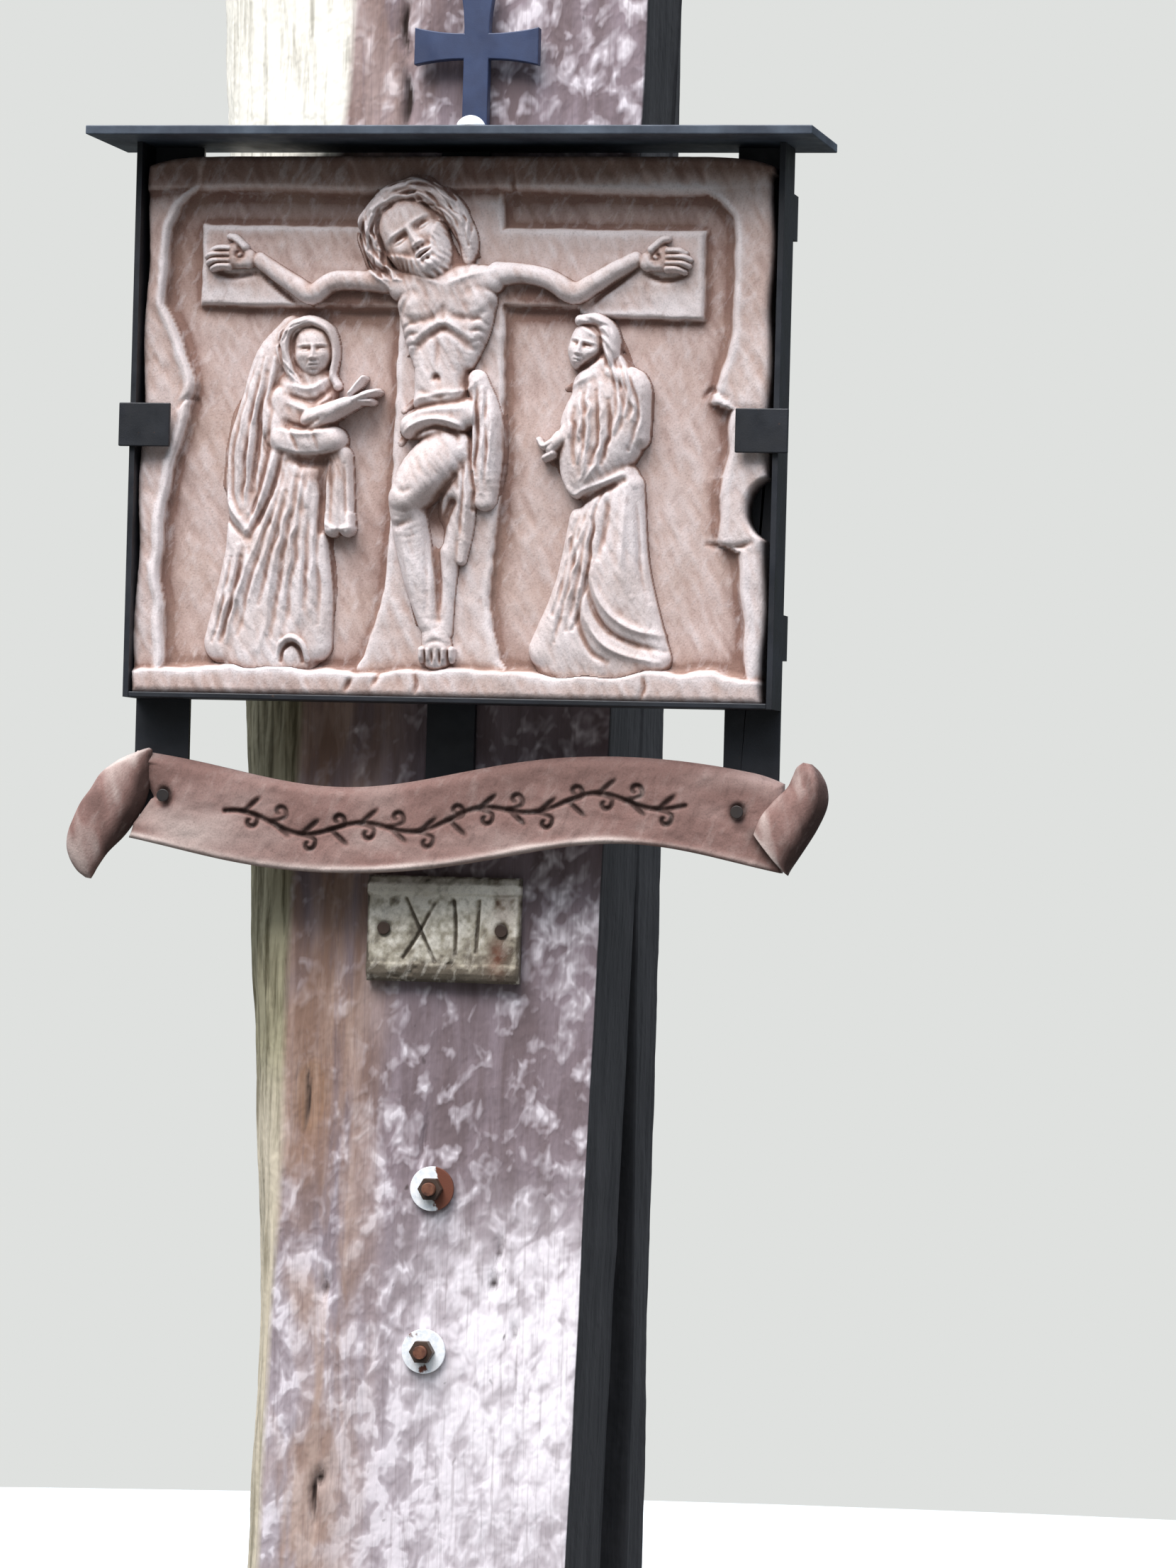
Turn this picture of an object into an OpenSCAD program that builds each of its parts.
// Wayside shrine: a fired-clay Calvary relief in a painted steel frame with a
// flat roof and a small cross, carried by a post of two hewn timbers, with a
// clay banner and a clay number plate below the relief.
// The origin is the middle of the front timber's foot, +Z is up and the relief
// faces -Y. The steel frame is drawn about its own middle, with Y = 0 at the
// front of its side angles, and placed by at_frame().

/* [Post] */
// Height of the post above the ground
post_h = 2450; // [2250:10:2800]
// Width of the flat hewn front face
face_w = 284; // [260:1:320]
// Sideways lean of the hewn face along the post, in degrees
face_lean = 1.56; // [0:0.01:2]
// Depth of the front timber
front_d = 150; // [130:1:180]
// Depth of both timbers together, with the split between them
post_d = 340; // [320:1:380]
// Width of the rounded wane beside the face at the foot
wane_foot = 30; // [10:1:60]
// Width of the rounded wane beside the face at the top
wane_top = 150; // [60:1:160]
// Depth over which the wane rounds back from the face
wane_d = 90; // [60:1:110]
// Height at which the wane begins to widen
wane_start = 1100; // [600:10:1400]
// Split between the timbers over the lower part of the post
split_foot = 85; // [20:1:100]
// Height below which the split has its full width
split_full_z = 1100; // [600:10:1400]
// Height at which the timbers meet
split_top_z = 2240; // [1800:10:2245]
// How far the rear timber stands out past the front one at the foot
rear_step = 33; // [0:1:45]

/* [Through bolts] */
// Height of the lower bolt
bolt_z = 1072; // [900:1:1150]
// Distance between the two bolts
bolt_pitch = 146; // [80:1:170]
// Diameter of the bolts
bolt_dia = 12; // [8:0.5:16]
// Diameter of the large washers
washer_dia = 40; // [36:1:60]
// Thickness of the large washers
washer_t = 3.5; // [2:0.5:6]
// Width of the nuts across their flats
nut_af = 19; // [17.5:0.5:24]
// Height of the nuts
nut_h = 10; // [6:0.5:14]
// Length of bolt that shows past each nut
bolt_tail = 6; // [2:0.5:20]

/* [Steel frame] */
// Distance of the frame's middle from the middle of the post's foot
frame_x = 50; // [20:1:80]
// Width over the two side angles
frame_w = 590; // [540:1:640]
// Leg length of the side angles
angle_leg = 50; // [40:1:60]
// Thickness of the side angles
angle_t = 5; // [3:0.5:8]
// Height of the ledge's upper face, on which the relief stands
ledge_z = 1657; // [1640:1:1800]
// Thickness of the ledge
ledge_t = 5; // [3:0.5:8]
// Height from the ledge to the underside of the roof
bay_h = 493; // [470:1:540]
// How far the legs and the middle bar run on below the level of the banner's screws
leg_margin = 17; // [8:1:25]
// Distance from the back of the side angles to the post's face
standoff = 30; // [20:1:50]
// Width of the middle bar that is screwed to the post
bar_w = 44; // [30:1:60]
// Thickness of the middle bar
bar_t = 8; // [5:0.5:12]
// Distance of the middle bar from the frame's middle
bar_x = -9.5; // [-20:0.5:20]
// Height of the two rails behind the relief
rail_h = 40; // [30:1:60]
// Distance of each rail from the top and the bottom of the bay
rail_inset = 40; // [30:1:90]
// Diameter of the screws in the middle bar
screw_dia = 10; // [6:0.5:12]
// Length of the screws in the post
screw_l = 90; // [40:1:120]
// Width of a screw's head across its flats
screw_af = 17; // [15:0.5:22]
// Height of a screw's head
screw_head_h = 7; // [4:0.5:10]

/* [Roof] */
// Width of the roof plate
roof_w = 655; // [600:1:760]
// Overhang of the roof plate in front of the side angles
roof_front = 54; // [20:1:120]
// Thickness of the roof plate
roof_t = 8; // [4:0.5:12]
// Diameter of the dome-headed stud in the roof's front edge
stud_dia = 25; // [16:1:32]
// Distance of the stud from the frame's middle
stud_x = 21; // [-40:1:60]
// Height of the dome over the roof
stud_h = 10; // [6:0.5:12]

/* [Roof cross] */
// Height of the cross above the roof
cross_h = 142; // [120:1:180]
// Span of its arms
cross_span = 114; // [90:1:160]
// Width of its shaft where the arms meet it
cross_bar = 23; // [16:1:30]
// Width of each flared end
cross_end = 34; // [26:1:44]
// Height of the arms' middle line above the roof
cross_arm_z = 86; // [70:1:100]
// Thickness of the cross
cross_t = 12; // [6:1:20]
// Gap between the cross and the face of the post
cross_gap = 6; // [2:1:14]

/* [Clips] */
// Width of each clip across the relief's edge
clip_w = 47; // [42:1:60]
// Height of each clip
clip_h = 39; // [25:1:60]
// Thickness of each clip
clip_t = 5; // [3:0.5:8]
// How far each clip stands out past the side angle
clip_out = 9; // [0:1:14]
// Height of the clips' middle above the ledge
clip_z = 239; // [180:1:320]

/* [Relief] */
// Width of the clay relief
relief_w = 572; // [540:1:576]
// Gap between the relief's top and the underside of the roof
relief_gap = 12; // [6:1:20]
// Thickness of the relief at its border
relief_t = 43; // [38:1:44]
// Thickness of the recessed ground
ground_t = 25; // [16:1:30]
// Height of the bottom border, on which the figures stand
base_h = 26; // [18:1:32]
// Height of the top border
top_h = 24; // [14:1:30]
// Narrowest width of the side borders
side_w = 20; // [12:1:26]
// Extra width of the side borders where they swell
swell_w = 24; // [5:1:28]
// Height of the swelling's middle above the ledge
swell_z = 265; // [200:1:320]
// Distance of the notch's middle outside the right edge
bite_out = 12; // [6:1:20]
// Radius of the notch in the right border
bite_r = 30; // [10:1:34]
// Height of the notch above the ledge
bite_z = 172; // [120:1:200]
// Span of the carved cross beam
beam_w = 450; // [400:1:470]
// Height of the carved cross beam
beam_h = 74; // [50:1:80]
// Width of the carved trunk
trunk_w = 96; // [70:1:110]
// Width of the carved trunk at its foot
trunk_foot_w = 118; // [110:1:130]
// Projection of the carved cross from the ground
timber_t = 10; // [6:1:14]

/* [Banner] */
// Length of the banner between its curled ends
banner_w = 602; // [560:1:640]
// Height of the banner
banner_h = 70; // [50:1:90]
// Thickness of the banner
banner_t = 20; // [12:1:28]
// Height of the banner's middle line, on average
banner_z = 1557; // [1545:1:1565]
// Rise and fall of the banner's wave
wave_rise = 19; // [0:1:24]
// Length of one full wave
wave_len = 510; // [420:5:600]
// Place of the wave's crest along the banner
wave_crest = 155; // [100:5:200]
// Width of each folded end past the ribbon
fold_w = 47; // [30:1:55]
// Length of the left end, which hangs down
tongue_l = 111; // [80:1:130]
// Thickness of the left end
tongue_t = 14; // [8:1:18]
// Height of the right end, which lies folded over the front
lobe_h = 95; // [70:1:110]
// Projection of the right end from the ribbon's front
lobe_t = 8; // [4:0.5:12]
// Depth of the notch in the ribbon's left end
end_notch = 29; // [10:1:40]
// Distance of each banner screw from the frame's middle
banner_screw_x = 262; // [250:1:285]
// Diameter of the screws in the clay
small_screw_dia = 6; // [4:0.5:8]

/* [Number plate] */
// Width of the number plate
plate_w = 140; // [110:1:180]
// Height of the number plate
plate_h = 95; // [80:1:110]
// Thickness of the number plate
plate_t = 16; // [10:1:22]
// Height of the number plate's middle
plate_z = 1451; // [1400:1:1455]
// Distance of the number plate from the frame's middle
plate_x = -11; // [-40:1:40]
// Height of the raised rim at its top and bottom
rim_h = 9; // [5:1:14]
// Projection of the raised rims
rim_t = 3; // [1:0.5:5]
// Distance between the two screws of the number plate
plate_pitch = 108; // [70:1:116]
// Length of the plate's screws in the post
plate_screw_l = 30; // [15:1:60]
// Height of the incised numeral
numeral_h = 54; // [30:1:60]
// Width of the numeral's strokes
stroke_w = 3; // [2:0.5:6]
// Depth of the numeral's strokes
stroke_t = 2.5; // [1:0.5:4]

/* [Hidden] */
$fn = 32;
fit = 0.15;                                   // clearance round a bolt or a screw
wood = "#8d7b7b";
steel = "#2b3038";
zinc = "#c5d2de";
clay = "#c9b3a6";
red_clay = "#8f6558";
olive_clay = "#98937a";

face_y = -front_d / 2;                        // front face of the post
back_y = face_y + post_d;                     // back face of the post
frame_y = face_y - standoff - angle_leg;      // front of the side angles
half_w = frame_w / 2;
rear_y = angle_leg;                           // back of the side angles, in the frame
post_y = angle_leg + standoff;                // face of the post, in the frame
bar_y = post_y - bar_t;                       // front of the middle bar
roof_z = ledge_z + bay_h;
roof_top = roof_z + roof_t;
seat_y = angle_leg - angle_t;                 // front of the rear flanges
ground_y = seat_y - ground_t;                 // recessed ground of the relief
border_y = seat_y - relief_t;                 // front of the relief's border
timber_y = ground_y - timber_t;               // front of the carved cross
plate_front = post_y - plate_t;                // front of the plate's rims
plate_low = plate_front + rim_t;              // front of its field
banner_front = seat_y - banner_t;
rail_low_z = ledge_z + rail_inset;
rail_high_z = roof_z - rail_inset - rail_h;
rear_right = face_w / 2 + rear_step;
bolt_heights = [bolt_z, bolt_z + bolt_pitch];
low_screw_z = rail_low_z + rail_h / 2;
high_screw_z = rail_high_z + rail_h / 2;
screw_heights = [low_screw_z, (low_screw_z + high_screw_z) / 2, high_screw_z];
section_heights = [for (i = [0 : 12]) post_h * i / 12];
arris = 4;                                    // blunted corner of a timber
rear_step_left = 6;                           // how far the rear timber stands back at the wane
rear_corner = [40, 30];                       // rounding of the rear timber's right back corner
rear_wane = [80, 60];                         // rounding of its left back corner
over = 1;                                     // overshoot of a cut past the solid
head_gap = 4;                                 // room round a screw's head in a rail
small_head_dia = small_screw_dia * 1.9;       // heads of the screws in the clay
small_head_h = small_screw_dia * 0.3;
small_nut_h = 4;                              // how far a banner screw shows behind its leg
numeral_lean = 26;                            // lean of the two crossed strokes
relief_h = bay_h - relief_gap;
grid = relief_h / 48.1;                       // square of the grid on which the carving is drawn
beam_x = -0.2 * grid;
beam_z = 34.4 * grid;                         // lower edge of the carved beam above the ledge
trunk_x = -0.6 * grid;
trunk_foot_x = -0.9 * grid;
flare_h = 9.5 * grid;                         // height of the trunk's flared foot

// Middle of the hewn face at a height
function face_x(z) = z * tan(face_lean);

// Width of the wane at a height
function wane(z) = wane_foot + (wane_top - wane_foot) * max(0, z - wane_start) / (post_h - wane_start);

// Split between the timbers at a height
function split(z) = split_foot * min(1, max(0, (split_top_z - z) / (split_top_z - split_full_z)));

// Middle line of the banner at a place along it
function banner_line(x) = banner_z + wave_rise * cos(360 * (x - wave_crest) / wave_len);

// Lower end of a leg or of the middle bar, behind the banner
function leg_end(x) = banner_line(x) - leg_margin;

// Outline of the front timber at a height, anticlockwise from above
function front_section(z) = let (x0 = face_x(z) - face_w / 2, x1 = x0 + face_w, w = wane(z)) concat(
    [[x0, face_y, z], [x1 - arris, face_y, z], [x1, face_y + arris, z]],
    [[x1, -face_y, z], [x0 - w, -face_y, z]],
    [for (t = [0 : 15 : 75]) [x0 - w * cos(t), face_y + wane_d * (1 - sin(t)), z]]
);

// Outline of the rear timber at a height, anticlockwise from above
function rear_section(z) = let (x0 = face_x(z) - face_w / 2 - wane(z), y0 = -face_y + split(z)) concat(
    [[x0 + rear_step_left, y0, z], [rear_right - arris, y0, z], [rear_right, y0 + arris, z]],
    [for (t = [0 : 30 : 90]) let (c = rear_corner)
        [rear_right - c[0] * (1 - cos(t)), back_y - c[1] * (1 - sin(t)), z]],
    [for (t = [0 : 18 : 90]) let (c = rear_wane)
        [x0 + c[0] * (1 - sin(t)), back_y - c[1] * (1 - cos(t)), z]]
);

// Solid through a list of outlines that have as many points each
module loft(sections) {
    n = len(sections[0]);
    last = (len(sections) - 1) * n;
    polyhedron(
        points = [for (s = sections) each s],
        faces = concat(
            [[for (j = [0 : n - 1]) j]],
            [[for (j = [n - 1 : -1 : 0]) last + j]],
            [for (i = [0 : len(sections) - 2]) for (j = [0 : n - 1])
                let (k = (j + 1) % n, a = i * n, b = a + n) [a + j, b + j, b + k, a + k]]
        )
    );
}

module at_frame() {
    translate([frame_x, frame_y, 0]) children();
}

// Cylinder along Y from y0 to y1
module along_y(dia, y0, y1, sides = 32) {
    translate([0, y0, 0])
        rotate([-90, 0, 0])
            cylinder(d = dia, h = y1 - y0, $fn = sides);
}

// Block between two corners
module block(a, b) {
    translate(a) cube(b - a);
}

module at_bolt(i) {
    translate([face_x(bolt_heights[i]), 0, bolt_heights[i]]) children();
}

module post_front() {
    color(wood)
        difference() {
            loft([for (z = section_heights) front_section(z)]);
            for (i = [0, 1]) at_bolt(i) along_y(bolt_dia + 2 * fit, face_y - over, over - face_y);
            at_frame() {
                for (z = screw_heights)
                    translate([bar_x, 0, z])
                        along_y(screw_dia + 2 * fit, post_y - over, post_y + screw_l + fit);
                for (s = [-1, 1])
                    translate([plate_x + s * plate_pitch / 2, 0, plate_z])
                        along_y(small_screw_dia + 2 * fit, post_y - over, post_y + plate_screw_l + fit);
            }
        }
}

module post_rear() {
    color(wood)
        difference() {
            loft([for (z = section_heights) rear_section(z)]);
            for (i = [0, 1]) at_bolt(i) along_y(bolt_dia + 2 * fit, 0, back_y + over);
        }
}

module bolt(i) {
    reach = washer_t + nut_h + bolt_tail;
    color("#7a4a35")
        at_bolt(i) along_y(bolt_dia, face_y - reach, back_y + reach);
}

module washer(i, y) {
    color(zinc)
        at_bolt(i)
            difference() {
                along_y(washer_dia, y, y + washer_t);
                along_y(bolt_dia + 2 * fit, y - over, y + washer_t + over);
            }
}

module nut(i, y) {
    color(steel)
        at_bolt(i)
            difference() {
                along_y(nut_af / cos(30), y, y + nut_h, 6);
                along_y(bolt_dia + 2 * fit, y - over, y + nut_h + over);
            }
}

module middle_bar() {
    color(steel)
        at_frame()
            difference() {
                block([bar_x - bar_w / 2, bar_y, leg_end(bar_x)], [bar_x + bar_w / 2, post_y, roof_z]);
                for (z = screw_heights)
                    translate([bar_x, 0, z]) along_y(screw_dia + 2 * fit, bar_y - over, post_y + over);
            }
}

// Rail behind the relief, bored for the screw's head where it crosses the bar
module rail(z) {
    color(steel)
        at_frame()
            difference() {
                block([-half_w, rear_y, z], [half_w, bar_y, z + rail_h]);
                translate([bar_x, 0, z + rail_h / 2])
                    along_y(screw_af / cos(30) + head_gap, rear_y - over, bar_y + over);
            }
}

module bar_screw(z) {
    color(zinc)
        at_frame()
            translate([bar_x, 0, z]) {
                along_y(screw_dia, bar_y, post_y + screw_l);
                along_y(screw_af / cos(30), bar_y - screw_head_h, bar_y, 6);
            }
}

// Side angle: one leg beside the relief, the other behind it and down to the banner
module side_angle(side) {
    low = leg_end(side * banner_screw_x);
    color(steel)
        at_frame()
            mirror([side < 0 ? 1 : 0, 0, 0])
                difference() {
                    union() {
                        block([half_w - angle_t, 0, ledge_z - ledge_t], [half_w, angle_leg, roof_z]);
                        block([half_w - angle_leg, seat_y, low], [half_w, angle_leg, roof_z]);
                    }
                    translate([banner_screw_x, 0, banner_line(side * banner_screw_x)])
                        along_y(small_screw_dia + 2 * fit, seat_y - over, angle_leg + over);
                }
}

module relief_ledge() {
    color(steel)
        at_frame() block([angle_t - half_w, 0, ledge_z - ledge_t], [half_w - angle_t, seat_y, ledge_z]);
}

module clip(side) {
    color(steel)
        at_frame()
            mirror([side < 0 ? 1 : 0, 0, 0])
                block(
                    [half_w + clip_out - clip_w, -clip_t, ledge_z + clip_z - clip_h / 2],
                    [half_w + clip_out, 0, ledge_z + clip_z + clip_h / 2]
                );
}

module roof_plate() {
    color(steel)
        at_frame() block([-roof_w / 2, -roof_front, roof_z], [roof_w / 2, post_y, roof_top]);
}

// Low dome on the roof's front edge
module roof_stud() {
    color(zinc)
        at_frame()
            translate([stud_x, stud_dia / 2 - roof_front, roof_top])
                intersection() {
                    translate([0, 0, stud_h - stud_dia * 0.55]) sphere(d = stud_dia * 1.1, $fn = 48);
                    cylinder(d = stud_dia, h = stud_h, $fn = 48);
                }
}

// One arm of the cross, from its root out to a flared end with hollow edges
module flared_arm(reach) {
    flare = (cross_end - cross_bar) / 2;
    start = cross_bar / 2;
    run = reach - start;
    radius = (run * run + flare * flare) / (2 * flare);
    difference() {
        translate([-cross_end / 2, 0]) square([cross_end, reach]);
        for (s = [-1, 1]) translate([s * (start + radius), start]) circle(r = radius, $fn = 160);
        for (s = [-1, 1]) translate([s * (start + flare) - flare, -over]) square([2 * flare, start + over]);
    }
}

module roof_cross() {
    reach = cross_span / 2;
    color(steel)
        at_frame()
            translate([0, post_y - cross_gap, roof_top])
                rotate([90, 0, 0])
                    linear_extrude(cross_t) {
                        translate([-cross_bar / 2, 0]) square([cross_bar, cross_arm_z]);
                        translate([0, cross_arm_z]) {
                            flared_arm(cross_h - cross_arm_z);
                            rotate(90) flared_arm(reach);
                            rotate(-90) flared_arm(reach);
                        }
                    }
}

// Inner line of a side border, as its width at a height above the ledge
function side_border(z) = side_w + swell_w * exp(-pow((z - swell_z) / 60, 2));

// Border strip on one side, with its swelling
module side_strip(side) {
    steps = 24;
    mirror([side < 0 ? 1 : 0, 0, 0])
        polygon(concat(
            [[relief_w / 2, 0]],
            [[relief_w / 2, relief_h]],
            [for (i = [steps : -1 : 0]) let (z = relief_h * i / steps) [relief_w / 2 - side_border(z), z]]
        ));
}

// The carved cross, drawn flat: beam and trunk with a flared foot
module cross_outline() {
    top = relief_h - top_h;
    translate([beam_x - beam_w / 2, beam_z]) square([beam_w, beam_h]);
    polygon([
        [trunk_foot_x - trunk_foot_w / 2, base_h], [trunk_foot_x + trunk_foot_w / 2, base_h],
        [trunk_x + trunk_w / 2, base_h + flare_h], [trunk_x + trunk_w / 2, top],
        [trunk_x - trunk_w / 2, top], [trunk_x - trunk_w / 2, base_h + flare_h]
    ]);
}

// Flat outline of the relief, standing up between two depths
module standing(y0, y1) {
    translate([0, y1, ledge_z]) rotate([90, 0, 0]) linear_extrude(y1 - y0) children();
}

module relief_body() {
    difference() {
        union() {
            standing(ground_y, seat_y) translate([-relief_w / 2, 0]) square([relief_w, relief_h]);
            standing(border_y, seat_y) {
                for (s = [-1, 1]) side_strip(s);
                translate([-relief_w / 2, 0]) square([relief_w, base_h]);
                translate([-relief_w / 2, relief_h - top_h]) square([relief_w, top_h]);
            }
            standing(timber_y, seat_y) cross_outline();
        }
        standing(border_y - over, seat_y + over)
            translate([relief_w / 2 + bite_out, bite_z]) circle(r = bite_r);
    }
}

module relief_slab() {
    color(clay) at_frame() relief_body();
}

// Rounded masses that follow a list of [x, z, radius] in squares of the grid,
// flattened against the ground
module mass(points, depth, y = ground_y) {
    translate([0, y, ledge_z])
        scale([grid, depth * grid, grid])
            for (i = [0 : len(points) - 2])
                hull()
                    for (p = [points[i], points[i + 1]])
                        translate([p[0], 0, p[1]]) sphere(r = p[2], $fn = 14);
}

// A carved figure, cut off flat where it meets the slab
module carved() {
    color(clay)
        at_frame()
            difference() {
                children();
                relief_body();
                block([-relief_w, ground_y, 0], [relief_w, post_y, 2 * ledge_z]);
            }
}

module figure_centre() {
    carved() {
        mass([[-4.4, 42.8, 2.2], [-2.2, 40.4, 2.7]], 0.9, timber_y - 0.4 * grid);
        mass([[-0.8, 41.2, 2.4], [0.6, 39.2, 1.4]], 0.8, timber_y);
        mass([[-1.8, 38.0, 1.4], [-0.8, 35.6, 2.2]], 0.8, timber_y);
        mass([[-5.0, 36.6, 1.5], [3.2, 36.8, 1.5]], 0.9, timber_y);
        mass([[-2.8, 35.0, 2.2], [-1.4, 30.0, 2.8]], 0.7, timber_y);
        mass([[1.6, 35.2, 2.2], [-1.0, 30.0, 2.8]], 0.7, timber_y);
        mass([[-1.4, 30.0, 2.8], [-1.0, 26.2, 3.0]], 0.6, timber_y);
        mass([[-5.4, 36.6, 1.4], [-13.2, 35.2, 1.2], [-19.6, 38.6, 0.9]], 1, timber_y);
        mass([[-19.6, 38.6, 0.9], [-21.2, 39.0, 1.4]], 0.6, timber_y);
        mass([[3.8, 36.8, 1.4], [10.7, 35.7, 1.2], [16.2, 39.4, 0.9]], 1, timber_y);
        mass([[16.2, 39.4, 0.9], [19.0, 39.8, 1.5]], 0.6, timber_y);
        mass([[-3.4, 25.0, 2.2], [2.0, 25.6, 2.2]], 0.8, timber_y);
        mass([[2.6, 26.2, 1.7], [3.0, 20.0, 1.4], [2.4, 13.0, 0.7]], 0.8, timber_y);
        mass([[0.0, 22.6, 2.6], [-3.6, 17.8, 2.2]], 0.9, timber_y);
        mass([[-4.0, 17.0, 1.8], [-3.0, 11.0, 1.4], [-2.0, 5.6, 1.0]], 0.9, timber_y);
        mass([[0.2, 19.0, 1.8], [-0.4, 11.0, 1.3], [-1.2, 5.6, 1.0]], 0.8, timber_y);
        mass([[-1.8, 5.0, 1.1], [-1.2, 3.8, 1.2]], 1.1, timber_y);
    }
}

module figure_left() {
    carved() {
        mass([[-13.6, 31.6, 2.4], [-13.2, 30.0, 2.4]], 0.9);
        mass([[-16.0, 31.2, 2.6], [-18.6, 23.0, 2.4], [-19.8, 13.0, 2.2], [-21.2, 4.6, 2.4]], 0.5);
        mass([[-14.0, 26.2, 3.4], [-15.0, 15.0, 4.2], [-16.0, 6.0, 4.6]], 0.55);
        mass([[-12.8, 13.0, 2.4], [-12.8, 5.0, 2.0]], 0.7);
        mass([[-16.0, 23.2, 1.6], [-11.2, 22.8, 2.0]], 0.9);
        mass([[-11.8, 24.4, 1.3], [-7.2, 26.4, 1.2]], 1.1);
        mass([[-10.4, 21.4, 1.4], [-10.1, 15.0, 1.2]], 0.8);
        mass([[-14.2, 4.2, 1.2], [-13.8, 3.4, 1.2]], 1.3);
    }
}

module figure_right() {
    carved() {
        mass([[12.8, 31.8, 2.6], [12.2, 30.4, 2.4]], 0.95);
        mass([[14.0, 31.6, 2.4], [15.8, 27.6, 2.6]], 0.8);
        mass([[15.0, 27.0, 3.2], [13.4, 22.2, 4.2]], 0.6);
        mass([[13.4, 22.2, 4.0], [11.6, 19.2, 1.8]], 0.6);
        mass([[11.2, 22.6, 1.6], [8.8, 22.2, 0.9]], 0.9);
        mass([[15.2, 22.0, 3.2], [14.6, 12.0, 4.0], [13.4, 6.2, 5.0]], 0.5);
        mass([[16.4, 11.0, 2.4], [17.2, 5.0, 2.2]], 0.7);
        mass([[11.2, 12.0, 1.6], [9.4, 4.6, 2.0]], 0.7);
    }
}

// Waved strip, drawn flat, with a notch in its left end
module banner_outline() {
    steps = 36;
    x0 = -banner_w / 2;
    middle = banner_line(x0);
    polygon(concat(
        [for (i = [0 : steps]) let (x = x0 + banner_w * i / steps) [x, banner_line(x) - banner_h / 2]],
        [for (i = [steps : -1 : 0]) let (x = x0 + banner_w * i / steps) [x, banner_line(x) + banner_h / 2]],
        [[x0 + end_notch, middle]]
    ));
}

module banner() {
    color(red_clay)
        at_frame()
            difference() {
                translate([0, seat_y, 0]) rotate([90, 0, 0]) linear_extrude(banner_t) banner_outline();
                for (s = [-1, 1])
                    translate([s * banner_screw_x, 0, banner_line(s * banner_screw_x)])
                        along_y(small_screw_dia + 2 * fit, banner_front - over, seat_y + over);
            }
}

// Left end of the ribbon, hanging down from its upper corner
module banner_tongue() {
    x = -banner_w / 2;
    middle = banner_line(x);
    w = fold_w;
    h = tongue_l;
    color(red_clay)
        at_frame()
            translate([x, seat_y, middle + banner_h / 2])
                rotate([90, 0, 0])
                    linear_extrude(tongue_t)
                        polygon([
                            [0, 0], [end_notch / 2, -banner_h / 4],
                            [-0.04 * w, -0.34 * h], [-0.13 * w, -0.71 * h], [-0.34 * w, -0.91 * h],
                            [-0.53 * w, -h], [-0.72 * w, -0.99 * h], [-0.94 * w, -0.87 * h],
                            [-w, -0.70 * h], [-0.91 * w, -0.52 * h], [-0.66 * w, -0.28 * h],
                            [-0.3 * w, -0.1 * h]
                        ]);
}

// Right end of the ribbon, folded over its front
module banner_lobe() {
    x = banner_w / 2;
    w = fold_w;
    h = lobe_h;
    color(red_clay)
        at_frame()
            difference() {
                translate([x, seat_y, banner_line(x) - banner_h / 2])
                    rotate([90, 0, 0])
                        linear_extrude(banner_t + lobe_t)
                            polygon([
                                [0, 0], [0.51 * w, 0.42 * h], [0.8 * w, 0.7 * h],
                                [0.72 * w, 0.84 * h], [0.55 * w, 0.95 * h], [0.32 * w, h],
                                [0.1 * w, 0.97 * h], [-0.08 * w, 0.82 * h], [-0.3 * w, 0.6 * h],
                                [-0.62 * w, 0.35 * h]
                            ]);
                translate([0, seat_y + over, 0])
                    rotate([90, 0, 0]) linear_extrude(banner_t + over) banner_outline();
            }
}

module banner_screw(side) {
    color(steel)
        at_frame()
            translate([side * banner_screw_x, 0, banner_line(side * banner_screw_x)]) {
                along_y(small_screw_dia, banner_front, angle_leg + small_nut_h);
                along_y(small_head_dia, banner_front - small_head_h, banner_front);
            }
}

// One stroke of the numeral, leaning by an angle from upright
module numeral_stroke(x, lean) {
    translate([x, plate_front, 0])
        rotate([0, lean, 0])
            block([-stroke_w / 2, 0, -numeral_h / 2], [stroke_w / 2, rim_t + stroke_t, numeral_h / 2]);
}

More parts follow.
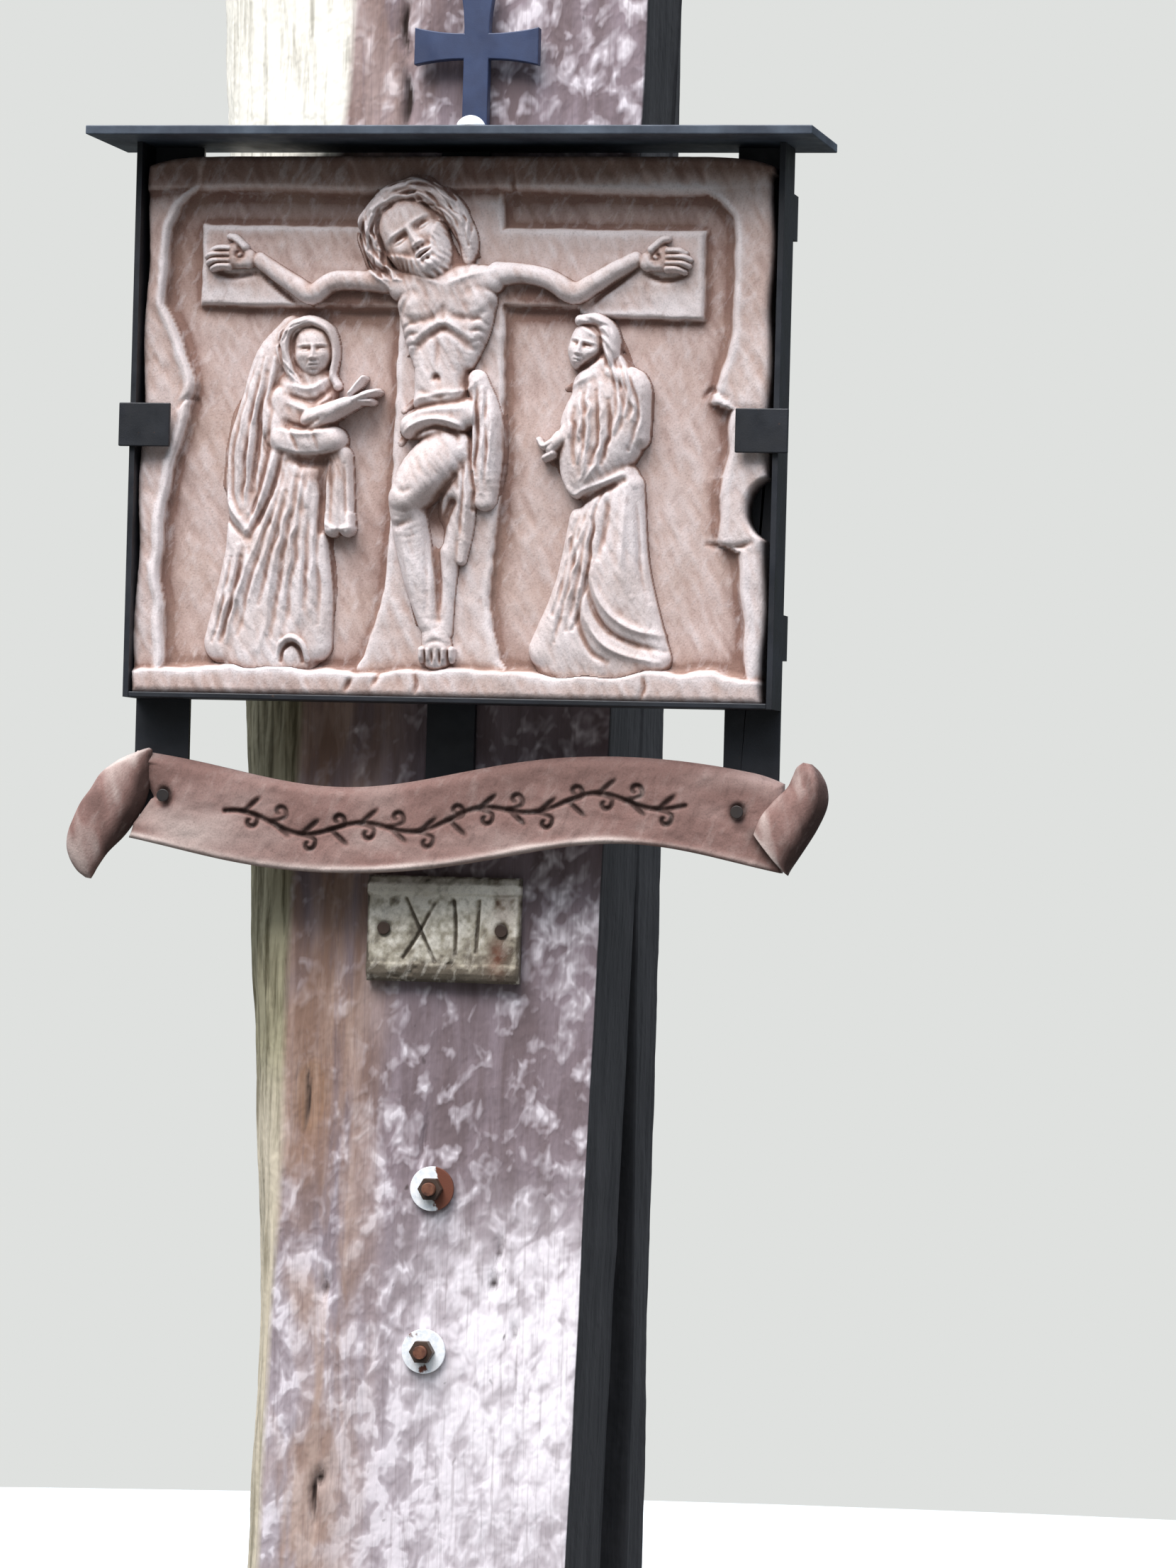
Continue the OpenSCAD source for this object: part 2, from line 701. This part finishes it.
module number_plate() {
    cross_x = -0.149 * plate_w;
    uprights = [0.086 * plate_w, 0.24 * plate_w];
    color(olive_clay)
        at_frame()
            difference() {
                translate([plate_x, 0, plate_z]) {
                    block([-plate_w / 2, plate_low, -plate_h / 2], [plate_w / 2, post_y, plate_h / 2]);
                    for (z = [-plate_h / 2, plate_h / 2 - rim_h])
                        block([-plate_w / 2, plate_front, z], [plate_w / 2, post_y, z + rim_h]);
                }
                translate([plate_x, 0, plate_z]) {
                    for (lean = [-numeral_lean, numeral_lean]) numeral_stroke(cross_x, lean);
                    for (x = uprights) numeral_stroke(x, 0);
                    for (s = [-1, 1])
                        translate([s * plate_pitch / 2, 0, 0])
                            along_y(small_screw_dia + 2 * fit, plate_front - over, post_y + over);
                }
            }
}

module plate_screw(side) {
    color(steel)
        at_frame()
            translate([plate_x + side * plate_pitch / 2, 0, plate_z]) {
                along_y(small_screw_dia, plate_low, post_y + plate_screw_l);
                along_y(small_head_dia, plate_low - small_head_h, plate_low);
            }
}

post_front();
post_rear();
bolt(0);  // bolt_lower
bolt(1);  // bolt_upper
washer(0, face_y - washer_t);  // washer_lower_front
washer(1, face_y - washer_t);  // washer_upper_front
washer(0, back_y);  // washer_lower_rear
washer(1, back_y);  // washer_upper_rear
nut(0, face_y - washer_t - nut_h);  // nut_lower_front
nut(1, face_y - washer_t - nut_h);  // nut_upper_front
nut(0, back_y + washer_t);  // nut_lower_rear
nut(1, back_y + washer_t);  // nut_upper_rear
middle_bar();
rail(rail_low_z);  // rail_lower
rail(rail_high_z);  // rail_upper
bar_screw(screw_heights[0]);  // bar_screw_1
bar_screw(screw_heights[1]);  // bar_screw_2
bar_screw(screw_heights[2]);  // bar_screw_3
side_angle(-1);  // angle_left
side_angle(1);  // angle_right
relief_ledge();
clip(-1);  // clip_left
clip(1);  // clip_right
roof_plate();
roof_stud();
roof_cross();
relief_slab();
figure_centre();
figure_left();
figure_right();
banner();
banner_tongue();
banner_lobe();
banner_screw(-1);  // banner_screw_left
banner_screw(1);  // banner_screw_right
number_plate();
plate_screw(-1);  // plate_screw_left
plate_screw(1);  // plate_screw_right
